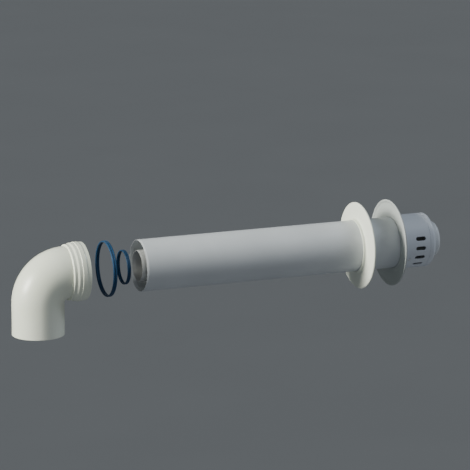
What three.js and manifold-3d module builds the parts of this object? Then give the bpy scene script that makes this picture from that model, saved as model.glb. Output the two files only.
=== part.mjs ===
// Coaxial flue elbow with its horizontal pipe kit, drawn pulled apart along the pipe's axis.
// Millimetres. +Z is up, +X runs along the pipe away from the elbow.
// The origin is the centre of the elbow's lower rim, where it stands on the boiler's collar.

import * as THREE from 'three';
import { mergeVertices } from 'three/addons/utils/BufferGeometryUtils.js';
import Module from 'manifold-3d';

const wasm = await Module();
wasm.setup();

// ---------------------------------------------------------------- driving sizes

const outerRadius = 50;            // outside of the air pipe, nominal 100
const outerWall = 2;
const innerRadius = 30;            // outside of the flue pipe, nominal 60
const innerWall = 2;

const axisHeight = 115;            // lower rim of the elbow up to the pipe's axis
const throatRadius = 5;            // inside of the outer bend
const bendToSocket = 0.5;          // straight run between the bends and the inner socket's stop
const socketDepth = 32;            // socket mouth to the stop for the outer pipe
const socketWall = 1.5;
const noseDepth = 8;               // how far the pipe reaches past the seals' shoulder
const stepRingWidth = 5;           // ring where the tube widens into the socket
const stepRingRise = 2.6;
const grooveWidth = 3;             // round the socket, in front of the seal bead
const beadRise = 0.8;              // how far the seal bead and the lip stand out
const lipWidth = 4;
const innerLegRecess = 6;          // inner bend's lower end above the outer rim
const innerMouthRecess = 8;        // inner socket mouth behind the outer mouth
const innerStepRise = 2;           // slope from the inner tube to its socket

const sealRise = 3.6;              // radial thickness of the outer seal
const sealWidth = 8;
const innerSealRise = 3;
const innerSealWidth = 7;

const outerSealOut = 47;           // pulled apart: from the socket mouth to each seal's middle
const innerSealOut = 82;
const pipeOut = 112;               // and to the open end of the outer pipe
const outerPipeLength = 555;
const innerLead = 2.5;             // inner pipe stands out of the outer one by this

const rosetteRadius = 85;
const rosetteDepth = 12;           // wall plane to the end of the rosette's collar
const rosetteDish = 6;             // wall plane to the face round the collar
const rosetteWall = 2;
const rosetteRimLand = 3;
const rosetteRimDepth = 3;         // rolled edge, from the wall plane to the start of the dish
const rosetteFillet = 3;           // between the face and the collar
const rosetteShoulder = 8;         // flat part of the face round the collar
const wallGap = 64;                // between the wall planes of the two rosettes
const rosetteToSleeve = 5;         // outer rosette's collar to the terminal

const sleeveWall = 2.6;
const sleeveOverlap = 16;          // sleeve pushed over the outer pipe
const slotLength = 21;
const slotWidth = 8;
const slotPitch = 21.2;            // degrees round the sleeve
const slotsEachSide = 5;           // besides the one at the bottom
const slotSetback = 4;             // from the outer pipe's end to the slots
const slotMargin = 10;             // from the slots to the sleeve's end
const capLength = 12;
const capFillet = 10;
const capWall = 2.5;
const capSpigot = 6;               // pushed into the sleeve
const nozzleStep = 5;              // nozzle's outside over the inner pipe's
const nozzleLength = 18;
const nozzleEdge = 5;              // rounding of its front edge
const nozzleTail = 14;             // its tube behind the cap
const nozzleMouthDepth = 14;       // front edge to the stop for the inner pipe
const nozzleFlange = 3.5;
const nozzleFlangeWall = 1.8;
const nozzleLip = 2;
const grilleSeatStep = 1.5;        // grille's seat over the inner pipe's outside
const grilleThickness = 2.5;
const grilleBar = 2;
const grilleRim = 3.5;

const springStrip = 1.2;           // sheet that the centring springs are bent from
const springWidth = 18;
const mouthSpringWidth = 8;
const mouthSpringSetback = 1;      // from the socket's stop
const frontSpringClear = 3;        // behind the reach of the elbow's socket
const rearSpringSetback = 30;      // from the outer pipe's end

const rivetRadius = 1.6;
const rivetHeadRadius = 3.2;
const rivetHeadHeight = 1.2;
const rivetTailRadius = 2.3;
const rivetTailHeight = 2.2;
const rivetCount = 3;

// clearances
const fit = 0.4;                   // sliding fit between pipe, seals, rosettes and sleeve
const socketClearance = 0.5;       // pipe in its socket
const gap = 0.3;                   // pieces that rest on each other
const springClearance = 0.4;       // centring spring to the pipes
const bendSpringClearance = 1.4;   // spring at the bend's end, where the tubes start to turn

// smoothness
const outerSides = 36;
const innerSides = 24;
const bendSteps = 16;
const rivetSides = 12;

// ---------------------------------------------------------------- worked-out places

const bendRadius = outerRadius + throatRadius;
const legTop = axisHeight - bendRadius;
const innerStopX = bendRadius + bendToSocket;
const stopX = innerStopX + innerLead;
const mouthX = stopX + socketDepth;
const seatX = stopX + noseDepth;
const innerMouthX = mouthX - innerMouthRecess;
const pipeX = mouthX + pipeOut;
const pipeEndX = pipeX + outerPipeLength;
const sleeveX = pipeEndX - sleeveOverlap;
const slotX = pipeEndX + slotSetback;
const sleeveEndX = slotX + slotLength + slotMargin;
const capEndX = sleeveEndX + capLength;
const nozzleStartX = capEndX - capWall - nozzleTail;
const nozzleEndX = capEndX + nozzleLength;
const nozzleStopX = nozzleEndX - nozzleMouthDepth;
const innerPipeEndX = nozzleStopX - gap;
const outerRosetteX = sleeveX - rosetteToSleeve - rosetteDepth;
const innerRosetteX = outerRosetteX - wallGap;

const outerBore = outerRadius - outerWall;
const innerBore = innerRadius - innerWall;
const sealRadius = outerRadius + fit + sealRise;
const innerSealRadius = innerRadius + fit + innerSealRise;
const seatRadius = sealRadius + gap;
const innerSeatRadius = innerSealRadius + gap;
const sleeveBore = outerRadius + fit;
const sleeveRadius = sleeveBore + sleeveWall;
const nozzleRadius = innerRadius + nozzleStep;
const grilleSeat = innerRadius + grilleSeatStep;

const degrees = THREE.MathUtils.degToRad;

// ---------------------------------------------------------------- geometry helpers

/** Closed triangle mesh with shared corners and faces that point out. */
function closedMesh(geometry) {
  const bare = geometry.index ? geometry.toNonIndexed() : geometry.clone();
  bare.deleteAttribute('normal');
  bare.deleteAttribute('uv');
  const merged = mergeVertices(bare, 1e-4);
  const vertProperties = new Float32Array(merged.attributes.position.array);
  const corners = merged.index.array;
  const kept = [];
  let volume = 0;
  const a = new THREE.Vector3();
  const b = new THREE.Vector3();
  const c = new THREE.Vector3();
  for (let i = 0; i < corners.length; i += 3) {
    const [p, q, r] = [corners[i], corners[i + 1], corners[i + 2]];
    if (p === q || q === r || r === p) continue;
    kept.push(p, q, r);
    a.fromArray(vertProperties, p * 3);
    b.fromArray(vertProperties, q * 3);
    c.fromArray(vertProperties, r * 3);
    volume += a.dot(b.cross(c));
  }
  if (volume < 0) kept.reverse();
  return { numProp: 3, vertProperties, triVerts: new Uint32Array(kept) };
}

/** Solid that can be joined and cut. */
function solid(geometry) {
  return new wasm.Manifold(new wasm.Mesh(closedMesh(geometry)));
}

/** Drawable geometry of a solid. */
function drawable(body) {
  const mesh = body.getMesh();
  const geometry = new THREE.BufferGeometry();
  geometry.setAttribute('position', new THREE.BufferAttribute(mesh.vertProperties, 3));
  geometry.setIndex(new THREE.BufferAttribute(mesh.triVerts, 1));
  const flat = geometry.toNonIndexed();
  flat.computeVertexNormals();
  return flat;
}

/** Ring turned about the pipe's axis from a closed outline of [along X, radius] points. */
function turned(outline, sides) {
  const points = outline.map(([x, radius]) => new THREE.Vector2(radius, x));
  points.push(points[0].clone());
  const ring = new THREE.LatheGeometry(points, sides);
  ring.rotateZ(-Math.PI / 2);
  ring.translate(0, 0, axisHeight);
  return solid(ring);
}

/** Straight pipe about the pipe's axis. */
function pipe(startX, endX, radius, bore, sides) {
  return turned([[startX, bore], [startX, radius], [endX, radius], [endX, bore]], sides);
}

/** Points of an arc in an outline, from one angle to another in degrees. */
function arc(centreX, centreRadius, radius, from, to, steps) {
  const points = [];
  for (let i = 0; i <= steps; i += 1) {
    const angle = degrees(from + (to - from) * i / steps);
    points.push([centreX + radius * Math.cos(angle), centreRadius + radius * Math.sin(angle)]);
  }
  return points;
}

/** Rounded rib between two places on a surface of the given radius. */
function bead(startX, endX, radius, rise, steps = 4) {
  const points = [];
  for (let i = 0; i <= steps; i += 1) {
    const along = i / steps;
    points.push([startX + (endX - startX) * along, radius + rise * Math.sin(Math.PI * along)]);
  }
  return points;
}

/** Closed path through points given by a radius for each angle. */
function outlineOf(radiusAt, sides, Kind) {
  const path = new Kind();
  for (let i = 0; i < sides; i += 1) {
    const angle = 2 * Math.PI * i / sides;
    const radius = radiusAt(angle);
    const point = [radius * Math.cos(angle), radius * Math.sin(angle)];
    if (i === 0) path.moveTo(...point);
    else path.lineTo(...point);
  }
  path.closePath();
  return path;
}

/** Flat ring shape between two outlines. */
function ringShape(outerAt, innerAt, sides) {
  const shape = outlineOf(outerAt, sides, THREE.Shape);
  shape.holes.push(outlineOf(innerAt, sides, THREE.Path));
  return shape;
}

/** Centre line of the elbow: up the leg, round the bend and out towards the mouth. */
class ElbowLine extends THREE.Curve {
  constructor(startZ, endX) {
    super();
    this.startZ = startZ;
    this.legLength = legTop - startZ;
    this.arcLength = bendRadius * Math.PI / 2;
    this.totalLength = this.legLength + this.arcLength + endX - bendRadius;
  }

  getPoint(t, target = new THREE.Vector3()) {
    const along = t * this.totalLength;
    const onArc = along - this.legLength;
    if (onArc < 0) return target.set(0, 0, this.startZ + along);
    if (onArc > this.arcLength) return target.set(bendRadius + onArc - this.arcLength, 0, axisHeight);
    const angle = onArc / bendRadius;
    return target.set(bendRadius * (1 - Math.cos(angle)), 0, legTop + bendRadius * Math.sin(angle));
  }
}

/** Bent tube along the elbow's centre line. */
function bentTube(startZ, endX, radius, bore, sides) {
  const section = ringShape(() => radius, () => bore, sides);
  const extrudePath = new ElbowLine(startZ, endX);
  return solid(new THREE.ExtrudeGeometry(section, { steps: bendSteps, extrudePath }));
}

// ---------------------------------------------------------------- elbow

/** Outer bend: plain leg for the boiler's collar, beaded socket for the air pipe. */
function elbowOuterShell() {
  const bore = outerRadius + socketClearance;
  const rootRadius = outerRadius - outerWall / 2;
  const socketRadius = seatRadius + socketWall;
  const stepX = seatX - noseDepth / 2 - grooveWidth / 2 - stepRingWidth;
  const grooveX = stepX + stepRingWidth + grooveWidth;
  const lipX = mouthX - lipWidth;
  const socket = turned([
    [stepX - gap, rootRadius],
    ...bead(stepX, stepX + stepRingWidth, outerRadius + stepRingRise - beadRise, beadRise),
    [grooveX, bore + socketWall],
    ...bead(seatX - outerWall / 2, seatX + sealWidth, socketRadius, beadRise),
    ...bead(lipX, mouthX, socketRadius, beadRise),
    [mouthX, seatRadius],
    [seatX, seatRadius],
    [seatX, bore],
    [stopX, bore],
    [stopX, rootRadius],
  ], outerSides);
  return bentTube(0, stopX, outerRadius, outerBore, outerSides).add(socket);
}

/** Inner bend: carries the flue gas, with a socket for the flue pipe. */
function elbowInnerBend() {
  const bore = innerRadius + socketClearance;
  const rootRadius = innerRadius - innerWall / 2;
  const socketRadius = innerSeatRadius + innerWall;
  const slopeX = seatX - 2 * innerWall;
  const socket = turned([
    [innerStopX - innerStepRise, rootRadius],
    [innerStopX, bore + innerWall],
    [slopeX, bore + innerWall],
    [slopeX + innerStepRise, socketRadius],
    [innerMouthX, socketRadius],
    [innerMouthX, innerSeatRadius],
    [seatX, innerSeatRadius],
    [seatX, bore],
    [innerStopX, bore],
    [innerStopX, rootRadius],
  ], innerSides);
  return bentTube(innerLegRecess, innerStopX, innerRadius, innerBore, innerSides).add(socket);
}

// ---------------------------------------------------------------- centring springs

/** Strip bent into three humps, lying on one pipe and reaching out to the other. */
function centringSpring(restRadius, width, clearance) {
  const rest = restRadius + clearance;
  const rise = outerBore - clearance - springStrip - rest;
  const hump = (angle) => rise * ((1 + Math.cos(3 * angle)) / 2) ** 2;
  const section = ringShape(
    (angle) => rest + springStrip + hump(angle),
    (angle) => rest + hump(angle),
    outerSides,
  );
  return new THREE.ExtrudeGeometry(section, { depth: width, bevelEnabled: false });
}

/** Centring spring round the pipe's axis, one hump up. */
function springOnPipe(startX, restRadius, width, clearance = springClearance) {
  const strip = centringSpring(restRadius, width, clearance);
  strip.rotateY(Math.PI / 2);
  strip.rotateX(Math.PI);
  strip.translate(startX, 0, axisHeight);
  return solid(strip);
}

/** Centring spring in the elbow's leg, one hump towards the back of the bend. */
function elbowLegSpacer() {
  const strip = centringSpring(innerRadius, springWidth, springClearance);
  strip.rotateZ(Math.PI);
  strip.translate(0, 0, (legTop - springWidth) / 2);
  return solid(strip);
}

/** Narrow centring spring between the bend and the inner socket. */
function elbowMouthSpacer() {
  const startX = stopX - mouthSpringSetback - mouthSpringWidth;
  const restRadius = innerRadius + innerWall + socketClearance;
  return springOnPipe(startX, restRadius, mouthSpringWidth, bendSpringClearance);
}

function pipeFrontSpacer() {
  return springOnPipe(pipeX + socketDepth + frontSpringClear, innerRadius, springWidth);
}

function pipeMiddleSpacer() {
  return springOnPipe(pipeX + (outerPipeLength - springWidth) / 2, innerRadius, springWidth);
}

function pipeRearSpacer() {
  return springOnPipe(pipeEndX - rearSpringSetback - springWidth, innerRadius, springWidth);
}

// ---------------------------------------------------------------- seals

/** Lip seal: a ring with rounded shoulders and a groove in its outside. */
function sealRing(middleX, bore, rise, width, sides) {
  const half = width / 2;
  const radius = bore + rise;
  const round = rise / 4;
  return turned([
    [middleX - half, bore + round],
    [middleX - half, radius - round],
    [middleX - half + round, radius],
    [middleX - round, radius],
    [middleX, radius - round],
    [middleX + round, radius],
    [middleX + half - round, radius],
    [middleX + half, radius - round],
    [middleX + half, bore + round],
    [middleX + half - round, bore],
    [middleX - half + round, bore],
  ], sides);
}

function outerSeal() {
  return sealRing(mouthX + outerSealOut, outerRadius + fit, sealRise, sealWidth, outerSides);
}

function innerSeal() {
  return sealRing(mouthX + innerSealOut, innerRadius + fit, innerSealRise, innerSealWidth, innerSides);
}

// ---------------------------------------------------------------- pipes

/** Holes or rivets at even steps round the pipe, the first one on top. */
function roundThePipe(makeGeometry) {
  const x = sleeveX + sleeveOverlap / 2;
  const pieces = [];
  for (let i = 0; i < rivetCount; i += 1) {
    const piece = makeGeometry();
    piece.rotateX(Math.PI / 2);
    piece.rotateX(2 * Math.PI * i / rivetCount);
    piece.translate(x, 0, axisHeight);
    pieces.push(solid(piece));
  }
  return pieces;
}

/** Radial drill through sleeve and pipe. */
function rivetHoles() {
  const drill = () => {
    const length = 2 * outerWall + 2 * sleeveWall;
    const hole = new THREE.CylinderGeometry(rivetRadius + gap, rivetRadius + gap, length, rivetSides);
    hole.translate(0, outerRadius, 0);
    return hole;
  };
  return roundThePipe(drill).reduce((all, hole) => all.add(hole));
}

function outerPipe() {
  return pipe(pipeX, pipeEndX, outerRadius, outerBore, outerSides).subtract(rivetHoles());
}

function innerPipe() {
  return pipe(pipeX - innerLead, innerPipeEndX, innerRadius, innerBore, innerSides);
}

// ---------------------------------------------------------------- wall rosettes

/** Dished wall plate with a collar on the pipe. It faces -X for side 1 and +X for side -1. */
function rosette(wallX, side) {
  const bore = outerRadius + fit;
  const collar = bore + rosetteWall;
  const inside = rosetteDish - rosetteWall;
  const edge = rosetteRadius - rosetteRimLand;
  const outline = [
    [0, edge],
    [0, rosetteRadius],
    [-rosetteRimDepth / 2, rosetteRadius],
    [-rosetteRimDepth, rosetteRadius - rosetteRimDepth / 3],
    [rosetteWall - rosetteDish, edge - rosetteRimDepth / 3],
    [-rosetteDish, collar + rosetteShoulder],
    [-rosetteDish - rosetteFillet / 3, collar + rosetteFillet],
    [-rosetteDish - rosetteFillet, collar],
    [-rosetteDepth, collar],
    [-rosetteDepth, bore],
    [-inside, bore],
    [-inside, collar + rosetteShoulder],
    [2 * rosetteWall - rosetteDish, edge - rosetteRimDepth],
  ];
  return turned(outline.map(([x, radius]) => [wallX + side * x, radius]), outerSides);
}

function innerWallRosette() {
  return rosette(innerRosetteX, 1);
}

function outerWallRosette() {
  return rosette(outerRosetteX, -1);
}

// ---------------------------------------------------------------- terminal

/** One air slot as a radial cutter, at an angle from straight down. */
function slotCutter(angle) {
  const half = slotWidth / 2;
  const run = slotLength / 2 - half;
  const shape = new THREE.Shape();
  shape.moveTo(-run, -half);
  shape.lineTo(run, -half);
  shape.absarc(run, 0, half, -Math.PI / 2, Math.PI / 2, false);
  shape.lineTo(-run, half);
  shape.absarc(-run, 0, half, Math.PI / 2, 3 * Math.PI / 2, false);
  const depth = 3 * sleeveWall;
  const cutter = new THREE.ExtrudeGeometry(shape, { depth, bevelEnabled: false, curveSegments: 3 });
  cutter.translate(slotX + slotLength / 2, 0, -sleeveRadius - sleeveWall);
  cutter.rotateX(angle);
  cutter.translate(0, 0, axisHeight);
  return solid(cutter);
}

/** Sleeve on the pipe's outer end, with the air slots round its lower half. */
function terminalSleeve() {
  let sleeve = pipe(sleeveX, sleeveEndX, sleeveRadius, sleeveBore, outerSides).subtract(rivetHoles());
  for (let i = -slotsEachSide; i <= slotsEachSide; i += 1) {
    sleeve = sleeve.subtract(slotCutter(degrees(slotPitch * i)));
  }
  return sleeve;
}

/** Round-shouldered cap that closes the air passage and holds the nozzle. */
function terminalEndCap() {
  const startX = sleeveEndX + gap;
  const faceX = capEndX - capWall;
  const spigot = sleeveBore - gap;
  const hollow = spigot - capWall;
  const hole = nozzleRadius + fit;
  return turned([
    [startX - capSpigot, hollow],
    [startX - capSpigot, spigot],
    [startX, spigot],
    [startX, sleeveRadius],
    ...arc(capEndX - capFillet, sleeveRadius - capFillet, capFillet, 90, 0, 4),
    [capEndX, hole],
    [faceX, hole],
    [faceX, hollow - capWall],
    [faceX - capWall, hollow],
  ], outerSides);
}

/** Flue outlet: takes the inner pipe's end, sits in the cap and carries the grille. */
function terminalNozzle() {
  const bore = innerRadius + fit;
  const tube = bore + innerWall;
  const flangeX = capEndX - capWall - gap;
  const flangeRadius = nozzleRadius + nozzleFlange;
  return turned([
    [nozzleStartX, bore],
    [nozzleStartX, tube],
    [flangeX - nozzleFlangeWall, tube],
    [flangeX - nozzleFlangeWall, flangeRadius],
    [flangeX, flangeRadius],
    [flangeX, nozzleRadius],
    ...arc(nozzleEndX - nozzleEdge, nozzleRadius - nozzleEdge, nozzleEdge, 90, 35, 3),
    [nozzleEndX, grilleSeat],
    [nozzleStopX + nozzleLip, grilleSeat],
    [nozzleStopX + nozzleLip, innerBore],
    [nozzleStopX, innerBore],
    [nozzleStopX, bore],
  ], innerSides);
}

/** Guard across the flue outlet: a rim with upright bars. */
function terminalGrille() {
  const startX = nozzleStopX + nozzleLip + gap;
  const radius = grilleSeat - gap;
  const clear = radius - grilleRim;
  let guard = pipe(startX, startX + grilleThickness, radius, clear, innerSides);
  for (const side of [-1, 0, 1]) {
    const y = side * clear / 2;
    const reach = Math.sqrt(clear ** 2 - y ** 2) + grilleRim / 2;
    const bar = new THREE.BoxGeometry(grilleThickness, grilleBar, 2 * reach);
    bar.translate(startX + grilleThickness / 2, y, axisHeight);
    guard = guard.add(solid(bar));
  }
  return guard;
}

/** Blind rivets that hold the sleeve on the outer pipe. */
function terminalRivets() {
  const head = sleeveRadius + gap;
  const tail = outerBore - gap;
  const points = [
    [0, tail - rivetTailHeight],
    [rivetTailRadius, tail - rivetTailHeight / 2],
    [rivetRadius, tail],
    [rivetRadius, head],
    [rivetHeadRadius, head],
    [rivetHeadRadius * 0.7, head + rivetHeadHeight * 0.8],
    [0, head + rivetHeadHeight],
  ].map(([radius, height]) => new THREE.Vector2(radius, height));
  return roundThePipe(() => new THREE.LatheGeometry(points, rivetSides));
}

// ---------------------------------------------------------------- finishes

function finish(color, roughness, metalness = 0) {
  return new THREE.MeshStandardMaterial({ color, roughness, metalness });
}

const warmWhitePlastic = finish(0xdfe4d8, 0.35);
const whitePipe = finish(0xc9ced0, 0.4);
const flueWhite = finish(0xd8dad6, 0.45);
const blueRubber = finish(0x0b4a72, 0.55);
const rosetteWhite = finish(0xe2e6da, 0.45);
const terminalWhite = finish(0xc4ccd6, 0.4);
const springSteel = finish(0xa9adb0, 0.3, 1);
const rivetAluminium = finish(0xc2c4c6, 0.35, 1);

// ---------------------------------------------------------------- assembly

const flueElbowKit = new THREE.Group();

function place(name, body, material) {
  const mesh = new THREE.Mesh(drawable(body), material);
  mesh.name = name;
  flueElbowKit.add(mesh);
}

place('elbow_outer_shell', elbowOuterShell(), warmWhitePlastic);
place('elbow_inner_bend', elbowInnerBend(), flueWhite);
place('elbow_leg_spacer', elbowLegSpacer(), springSteel);
place('elbow_mouth_spacer', elbowMouthSpacer(), springSteel);
place('outer_seal', outerSeal(), blueRubber);
place('inner_seal', innerSeal(), blueRubber);
place('outer_pipe', outerPipe(), whitePipe);
place('inner_pipe', innerPipe(), flueWhite);
place('pipe_front_spacer', pipeFrontSpacer(), springSteel);
place('pipe_middle_spacer', pipeMiddleSpacer(), springSteel);
place('pipe_rear_spacer', pipeRearSpacer(), springSteel);
place('inner_wall_rosette', innerWallRosette(), rosetteWhite);
place('outer_wall_rosette', outerWallRosette(), rosetteWhite);
place('terminal_sleeve', terminalSleeve(), terminalWhite);
place('terminal_end_cap', terminalEndCap(), terminalWhite);
place('terminal_nozzle', terminalNozzle(), flueWhite);
place('terminal_grille', terminalGrille(), flueWhite);
terminalRivets().forEach((rivet, i) => place(`terminal_rivet_${i + 1}`, rivet, rivetAluminium));

export default flueElbowKit;
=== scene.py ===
"""Looks of a coaxial flue elbow kit, pulled apart along the axis of its pipe.

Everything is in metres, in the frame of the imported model: +Z up the elbow's leg, +X along
the pipe.
"""

import functools
import logging
import math
from collections.abc import Callable
from dataclasses import dataclass
from enum import Enum
from typing import ClassVar, NamedTuple

import bmesh
import bpy
from mathutils import Matrix, Vector


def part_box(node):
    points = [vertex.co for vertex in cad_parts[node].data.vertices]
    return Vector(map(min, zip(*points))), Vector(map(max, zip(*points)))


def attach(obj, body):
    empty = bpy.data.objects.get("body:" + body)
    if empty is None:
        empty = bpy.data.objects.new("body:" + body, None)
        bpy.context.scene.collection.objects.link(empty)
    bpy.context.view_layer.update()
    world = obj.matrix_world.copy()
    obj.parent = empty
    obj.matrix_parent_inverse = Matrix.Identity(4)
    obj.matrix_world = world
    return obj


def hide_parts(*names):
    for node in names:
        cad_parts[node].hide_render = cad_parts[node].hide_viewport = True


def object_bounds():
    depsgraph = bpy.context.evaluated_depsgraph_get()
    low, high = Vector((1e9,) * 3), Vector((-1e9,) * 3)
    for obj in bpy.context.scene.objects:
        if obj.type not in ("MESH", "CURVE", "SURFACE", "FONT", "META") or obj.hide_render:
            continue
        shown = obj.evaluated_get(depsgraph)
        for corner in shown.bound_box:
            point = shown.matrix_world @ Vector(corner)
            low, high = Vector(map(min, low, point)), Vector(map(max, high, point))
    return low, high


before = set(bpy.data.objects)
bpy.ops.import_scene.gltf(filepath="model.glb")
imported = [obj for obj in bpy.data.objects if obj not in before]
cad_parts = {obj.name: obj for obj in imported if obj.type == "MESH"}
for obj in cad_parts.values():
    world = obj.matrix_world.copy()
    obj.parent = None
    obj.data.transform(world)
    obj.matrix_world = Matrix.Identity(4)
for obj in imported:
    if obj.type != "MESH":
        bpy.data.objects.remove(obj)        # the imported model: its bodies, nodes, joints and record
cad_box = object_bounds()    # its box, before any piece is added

log = logging.getLogger("flue_elbow")

MM = 0.001
FULL_TURN, HALF_TURN, QUARTER_TURN = 2 * math.pi, math.pi, math.pi / 2
Triple = tuple[float, float, float]
Colour = Triple
Corner = tuple[float, float, float]     # place along the axis, radius from it, rounding
Face = tuple[int, ...]
Relief = Callable[[float, float], float]

WEAR = "edge_wear"              # point attribute: 1 on the crest of a rounded edge
ARC_STEP = math.radians(15)     # coarsest step round a rounded edge
ARC_SHARE = 0.45                # most of a side that one corner's rounding takes
SUPPORT = 0.8 * MM              # flat kept beside a rounded edge, so that it shades flat
WELD = 0.01 * MM
SHARP = math.radians(38)


# ---------------------------------------------------------------- names of the frame


class Body(Enum):
    """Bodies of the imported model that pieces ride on."""

    ELBOW = "elbow"
    LARGE_SEAL = "outer_seal"
    SMALL_SEAL = "inner_seal"
    FRONT_CENTRING = "front_centring"
    PIPE = "pipe"
    ROOM_ROSETTE = "inner_rosette"
    OUTSIDE_ROSETTE = "outer_rosette"


class Slot(Enum):
    """Material slots of the record."""

    ELBOW = "elbow_white"
    PIPE = "pipe_white"
    LINER = "flue_liner"
    SEAL = "seal_blue"
    ROSETTE = "rosette_white"
    TERMINAL = "terminal_white"
    SPRING = "spring_steel"
    RIVET = "rivet_aluminium"


class Lie(Enum):
    """Which way the axis of a turned shape lies."""

    UP = "up the leg"
    ALONG = "along the pipe"


class Facing(Enum):
    """Which way the face of a wall rosette looks."""

    ROOM = 1
    OUTSIDE = -1


@dataclass(frozen=True)
class Extent:
    """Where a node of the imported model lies."""

    low: Vector
    high: Vector

    @classmethod
    def of(cls, node: str) -> "Extent":
        """Extent of the named node."""
        return cls(*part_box(node))

    @property
    def radius(self) -> float:
        """Largest radius about the pipe's axis."""
        return (self.high.y - self.low.y) / 2

    @property
    def length(self) -> float:
        """Length along the pipe."""
        return self.high.x - self.low.x

    @property
    def middle(self) -> Vector:
        """Middle of the extent."""
        return (self.low + self.high) / 2


AXIS_Z = Extent.of("outer_pipe").middle.z    # height of the pipe's axis


# ---------------------------------------------------------------- outlines and meshes


class Mark(NamedTuple):
    """Point of a finished outline, with its share of edge wear."""

    along: float
    radius: float
    wear: float


def rounded(corners: list[Corner], row: float | None = None) -> list[Mark]:
    """Closed outline with every corner turned into an arc.

    Args:
        corners: corners in order round the section.
        row: longest straight run that is left whole; None leaves them all.

    Returns:
        Points of the outline; the crests of corners that stand out carry wear.
    """
    spots = [Vector(corner[:2]) for corner in corners]
    turning = sum(a.x * b.y - b.x * a.y for a, b in zip([spots[-1], *spots], spots))
    marks: list[Mark] = []
    for i, here in enumerate(spots):
        rounding = corners[i][2]
        if rounding <= 0:
            marks.append(Mark(here.x, here.y, 0.0))
            continue
        back, ahead = spots[i - 1] - here, spots[(i + 1) % len(spots)] - here
        half = back.angle(ahead) / 2
        reach = min(rounding / math.tan(half), ARC_SHARE * back.length, ARC_SHARE * ahead.length)
        inwards = (back.normalized() + ahead.normalized()).normalized()
        centre = here + inwards * (reach / math.cos(half))
        first = here + back.normalized() * reach - centre
        last = here + ahead.normalized() * reach - centre
        start = math.atan2(first.y, first.x)
        sweep = math.remainder(math.atan2(last.y, last.x) - start, FULL_TURN)
        crest = 1.0 if (sweep > 0) == (turning > 0) else 0.0
        steps = max(3, math.ceil(abs(sweep) / ARC_STEP))
        for k in range(steps + 1):
            angle = start + sweep * k / steps
            marks.append(Mark(centre.x + first.length * math.cos(angle),
                              centre.y + first.length * math.sin(angle),
                              crest * math.sin(HALF_TURN * k / steps)))
    return marks if row is None else dense(marks, row)


def dense(marks: list[Mark], step: float) -> list[Mark]:
    """Closed outline with its long runs split.

    Args:
        marks: points of the outline.
        step: longest run that is left whole.

    Returns:
        The same outline with more points; each split run keeps a short flat at both ends.
    """
    result: list[Mark] = []
    for mark, after in zip(marks, [*marks[1:], marks[0]]):
        start = Vector(mark[:2])
        run = Vector(after[:2]) - start
        result.append(mark)
        if run.length < 4 * SUPPORT:
            continue
        edge = SUPPORT / run.length
        pieces = max(1, math.ceil(run.length / step))
        shares = [edge, *(k / pieces for k in range(1, pieces)), 1 - edge]
        for share in sorted(s for s in shares if edge <= s <= 1 - edge):
            result.append(Mark(*(start + run * share), 0.0))
    return result


def even_angles(sides: int) -> list[float]:
    """Equal steps round a full turn."""
    return [FULL_TURN * j / sides for j in range(sides)]


def seam_angles(sides: int, seam: float) -> list[float]:
    """Equal steps round a full turn, with a few fine ones at the mould's parting plane.

    Args:
        sides: number of equal steps.
        seam: half the angle that the parting line takes.

    Returns:
        Angles in order; the parting plane is at 0 and half a turn.
    """
    fine = [side + seam * share for side in (0.0, HALF_TURN) for share in (-1, -0.5, 0.5, 1)]
    return sorted({round(a % FULL_TURN, 9) for a in [*even_angles(sides), *fine]})


def grid_faces(rows: int, columns: int, closed: bool = False, around: bool = True,
               base: int = 0) -> list[Face]:
    """Faces between the points of a grid, numbered row by row.

    Args:
        rows: number of rows.
        columns: points in a row.
        closed: whether the last row joins the first.
        around: whether each row closes on itself.
        base: number of the first point.

    Returns:
        Point numbers of each face.
    """
    faces = []
    for i in range(rows if closed else rows - 1):
        here, above = base + i * columns, base + (i + 1) % rows * columns
        for j in range(columns if around else columns - 1):
            right = (j + 1) % columns
            faces.append((here + j, here + right, above + right, above + j))
    return faces


def named_mesh(name: str, points: list[Triple], faces: list[Face],
               wear: list[float]) -> bpy.types.Mesh:
    """Mesh from plain lists, with its share of wear stored on the points.

    Args:
        name: name of the mesh.
        points: corners.
        faces: corner numbers of each face.
        wear: wear of each point.

    Returns:
        The mesh, as yet not turned outwards.
    """
    mesh = bpy.data.meshes.new(name)
    mesh.from_pydata(points, [], faces)
    mesh.attributes.new(WEAR, "FLOAT", "POINT").data.foreach_set("value", wear)
    return mesh


def finished(mesh: bpy.types.Mesh) -> bpy.types.Mesh:
    """Turns a closed mesh outwards and shades it smooth up to the sharp angle.

    Args:
        mesh: the mesh, which is changed.

    Returns:
        The same mesh.
    """
    shape = bmesh.new()
    shape.from_mesh(mesh)
    if shape.calc_volume(signed=True) < 0:
        bmesh.ops.reverse_faces(shape, faces=shape.faces)
    shape.to_mesh(mesh)
    shape.free()
    mesh.shade_smooth()
    mesh.set_sharp_from_angle(angle=SHARP)
    return mesh


def placed(lie: Lie, along: float, radius: float, angle: float) -> Triple:
    """Place of a point of a turned shape.

    Args:
        lie: where the shape's axis lies.
        along: place along the axis.
        radius: distance from it.
        angle: way round it; 0 is the throat side of the leg, or the top of the pipe.

    Returns:
        The point.
    """
    across, side = radius * math.cos(angle), radius * math.sin(angle)
    return (across, side, along) if lie is Lie.UP else (along, -side, AXIS_Z + across)


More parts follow.
